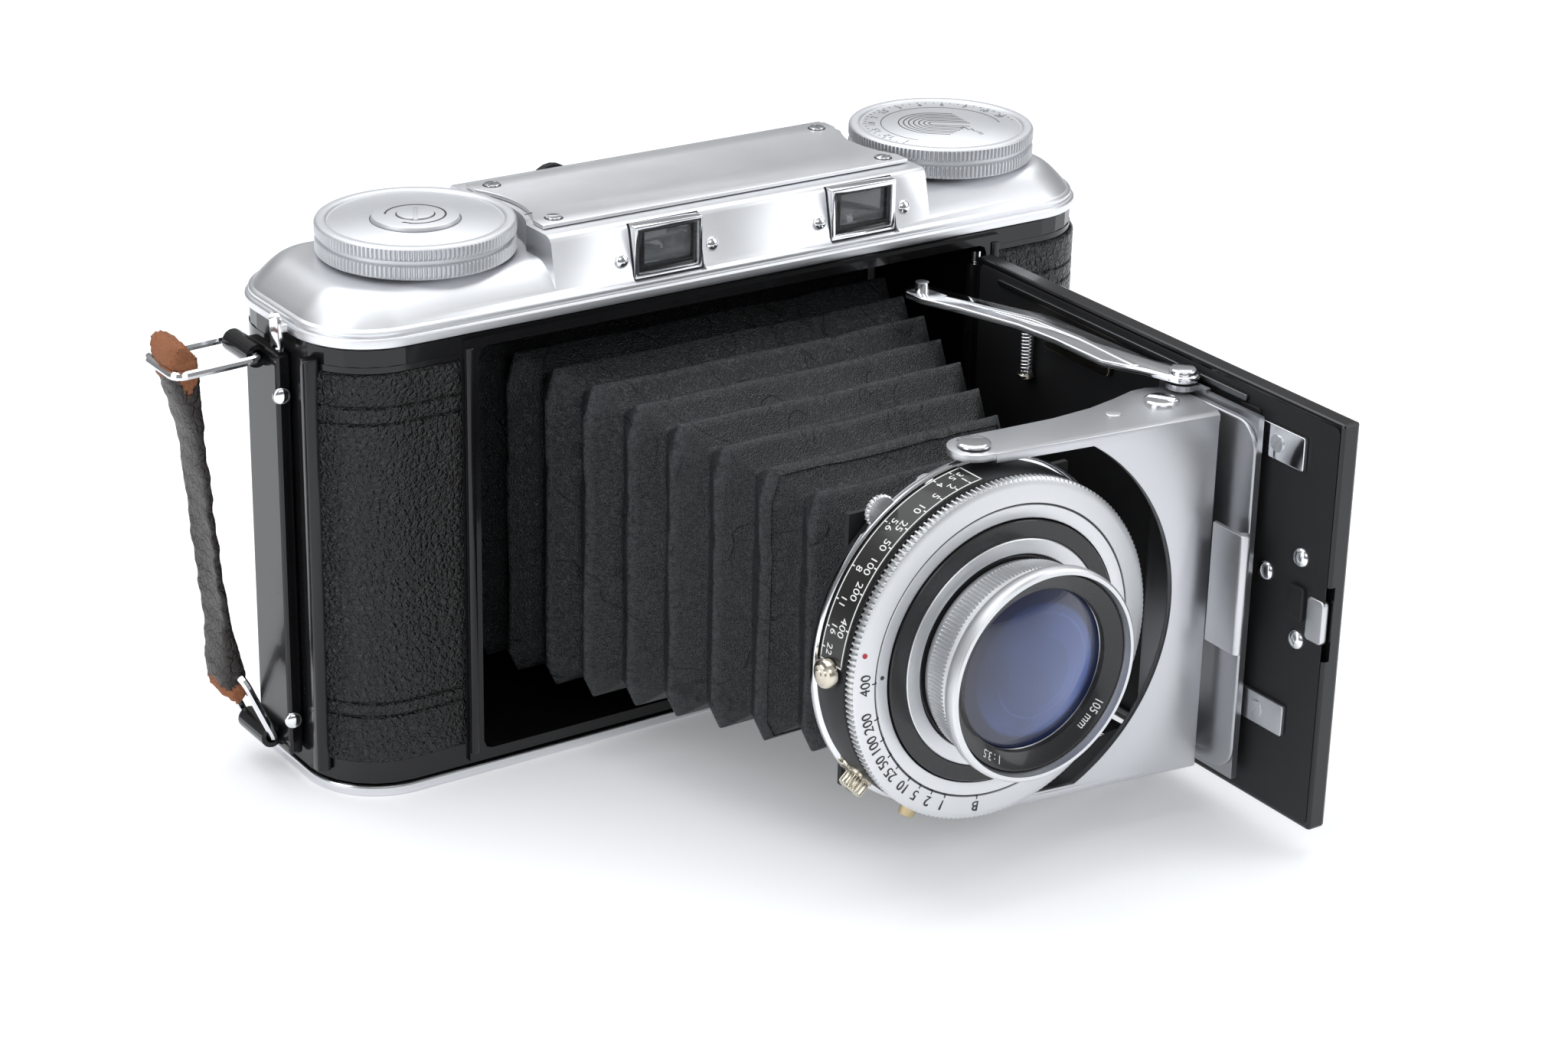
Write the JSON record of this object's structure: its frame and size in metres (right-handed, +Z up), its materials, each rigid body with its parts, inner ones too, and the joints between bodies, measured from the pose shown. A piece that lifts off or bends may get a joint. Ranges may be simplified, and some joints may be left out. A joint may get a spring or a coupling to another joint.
{
  "type": "folding camera",
  "caption": "Folding roll-film camera with leather bellows, side-hinged bed, two top knobs, finder windows, leaf shutter with dials, and a side strap.",
  "frame": {"origin": "centre of the flat underside of the base plate", "axes": "+Z up, the lens looks along -Y, +X to the right in a front view"},
  "size_m": [0.1911, 0.1509, 0.1017],
  "materials": {
    "satin_chrome": "satin chrome plate, fine brushed",
    "bright_chrome": "bright polished chrome",
    "satin_aluminium": "satin anodised aluminium",
    "dark_steel": "darkened sheet steel",
    "black_enamel": "glossy black enamel",
    "black_paint": "dull black paint",
    "leather": "grained black leather",
    "bellows_leather": "thin creased black leather",
    "strap_leather": "worn black leather with brown suede edges",
    "coated_glass": "blue coated optical glass",
    "finder_glass": "clear finder glass",
    "red_glass": "red window",
    "nickel": "nickel plate"
  },
  "bodies": {
    "body": {"body_shell": "black_enamel", "base_plate": "satin_chrome", "tripod_socket": "nickel", "top_cover": "satin_chrome", "top_plate": "satin_chrome", "finder_frame": "bright_chrome", "finder_glass": "finder_glass", "ranging_frame": "bright_chrome", "ranging_glass": "finder_glass", "eyepiece": "black_paint", "leather_left": "leather", "leather_right": "leather", "bed_hinge_pin": "bright_chrome", "back_hinge_pin": "bright_chrome", "bellows": "bellows_leather"},
    "door": {"back_door": "black_enamel", "leather_back": "leather", "red_window": "red_glass", "pressure_plate": "dark_steel", "pressure_spring": "bright_chrome"},
    "window_slide": {"window_cover": "satin_chrome"},
    "winder": {"advance_knob": "satin_aluminium", "advance_cap": "satin_aluminium"},
    "focus_dial": {"focus_knob": "satin_aluminium"},
    "take_up": {"take_up_spool": "dark_steel"},
    "supply": {"supply_spool": "dark_steel"},
    "latch": {"latch_bar": "black_enamel", "strap": "strap_leather"},
    "loop_upper": {"wire_loop_upper": "bright_chrome"},
    "loop_lower": {"wire_loop_lower": "bright_chrome"},
    "bed": {"bed_plate": "black_enamel", "bed_leather": "leather", "rail_tab_upper": "bright_chrome", "rail_tab_lower": "bright_chrome"},
    "catch": {"bed_catch": "bright_chrome"},
    "carriage": {"carriage_bracket": "dark_steel"},
    "release": {"release_plate": "satin_chrome"},
    "bracket": {"front_bracket": "satin_aluminium"},
    "strut_up": {"strut_upper": "bright_chrome"},
    "strut_low": {"strut_lower": "bright_chrome"},
    "lens": {"lens_board": "black_paint", "bellows_frame": "black_paint", "board_rim": "bright_chrome", "scale_plate": "black_enamel", "shutter_face": "black_paint", "front_cell": "satin_aluminium", "name_ring": "black_paint", "front_glass": "coated_glass", "rear_cell": "black_paint", "rear_glass": "coated_glass", "lens_pivot_upper": "bright_chrome", "lens_pivot_lower": "bright_chrome", "sync_socket": "nickel", "cable_socket": "nickel"},
    "speeds": {"speed_ring": "satin_aluminium"},
    "aperture": {"aperture_lever": "satin_chrome"},
    "cocking": {"cocking_button": "bright_chrome"}
  },
  "joints": [
    {"name": "bed_fold", "type": "hinge", "parent": "body", "child": "bed", "pos_m": [0.05346, -0.02214, 0.04374], "axis": [0, 0, -1], "range_deg": [0, 90], "deforming": ["bellows"]},
    {"name": "focus_turn", "type": "hinge", "parent": "body", "child": "focus_dial", "pos_m": [0.06048, 0, 0.0972], "axis": [0, 0, 1], "range_deg": [-300, 0]},
    {"name": "carriage_slide", "type": "slide", "parent": "bed", "child": "carriage", "axis": [0, -1, 0], "range_m": [0, 0.0123], "deforming": ["bellows"]},
    {"name": "bracket_fold", "type": "hinge", "parent": "carriage", "child": "bracket", "pos_m": [0.04104, -0.09288, 0.04374], "axis": [0, 0, -1], "range_deg": [0, 71.7], "deforming": ["bellows"]},
    {"name": "lens_level", "type": "hinge", "parent": "bracket", "child": "lens", "pos_m": [0, -0.09288, 0.04374], "axis": [0, 0, 1], "range_deg": [0, 161.8], "deforming": ["bellows"]},
    {"name": "strut_upper_fold", "type": "hinge", "parent": "carriage", "child": "strut_up", "pos_m": [0.04817, -0.08986, 0.08014], "axis": [0, 0, -1], "range_deg": [0, 6.1]},
    {"name": "strut_lower_fold", "type": "hinge", "parent": "carriage", "child": "strut_low", "pos_m": [0.04817, -0.08986, 0.00734], "axis": [0, 0, -1], "range_deg": [0, 6.1]},
    {"name": "release_press", "type": "hinge", "parent": "carriage", "child": "release", "pos_m": [0.04774, -0.10584, 0.04374], "axis": [0, 0, 1], "range_deg": [0, 12], "stiffness_Nm_per_rad": 0.02},
    {"name": "catch_slide", "type": "slide", "parent": "bed", "child": "catch", "axis": [0, 0, 1], "range_m": [0, 0.0022]},
    {"name": "advance_turn", "type": "hinge", "parent": "body", "child": "winder", "pos_m": [-0.05562, 0, 0.0972], "axis": [0, 0, -1], "continuous": true},
    {"name": "take_up_turn", "type": "hinge", "parent": "body", "child": "take_up", "pos_m": [-0.06961, -0.00691, 0.04374], "axis": [0, 0, -1], "continuous": true},
    {"name": "supply_turn", "type": "hinge", "parent": "body", "child": "supply", "pos_m": [0.06961, -0.00691, 0.04374], "axis": [0, 0, -1], "continuous": true},
    {"name": "door_open", "type": "hinge", "parent": "body", "child": "door", "pos_m": [0.08284, 0.01663, 0.04374], "axis": [0, 0, -1], "range_deg": [0, 100]},
    {"name": "window_cover_slide", "type": "slide", "parent": "door", "child": "window_slide", "axis": [1, 0, 0], "range_m": [0, 0.014]},
    {"name": "latch_slide", "type": "slide", "parent": "body", "child": "latch", "axis": [0, 0, -1], "range_m": [0, 0.0022]},
    {"name": "loop_upper_swing", "type": "hinge", "parent": "latch", "child": "loop_upper", "pos_m": [-0.08791, 0.00389, 0.08122], "axis": [0, -1, 0], "range_deg": [-12, 10], "deforming": ["strap"]},
    {"name": "loop_lower_swing", "type": "hinge", "parent": "latch", "child": "loop_lower", "pos_m": [-0.08791, 0.00389, 0.00691], "axis": [0, -1, 0], "range_deg": [-12, 12], "deforming": ["strap"]},
    {"name": "speed_turn", "type": "hinge", "parent": "lens", "child": "speeds", "pos_m": [0, -0.10044, 0.04374], "axis": [0, -1, 0], "range_deg": [-60, 60]},
    {"name": "aperture_turn", "type": "hinge", "parent": "lens", "child": "aperture", "pos_m": [0, -0.09569, 0.04374], "axis": [0, -1, 0], "range_deg": [0, 44]},
    {"name": "cocking_turn", "type": "hinge", "parent": "lens", "child": "cocking", "pos_m": [0, -0.09569, 0.04374], "axis": [0, -1, 0], "range_deg": [0, 28], "stiffness_Nm_per_rad": 0.01}
  ],
  "couplings": [
    {"joint": "focus_turn", "follows": "carriage_slide", "rad_per_m": -425.68},
    {"joint": "bracket_fold", "follows": "bed_fold", "ratio": 0.79545},
    {"joint": "lens_level", "follows": "bed_fold", "ratio": 1.7954},
    {"joint": "strut_upper_fold", "follows": "bed_fold", "ratio": 0.066667},
    {"joint": "strut_lower_fold", "follows": "bed_fold", "ratio": 0.066667},
    {"joint": "take_up_turn", "follows": "advance_turn", "ratio": 1}
  ]
}
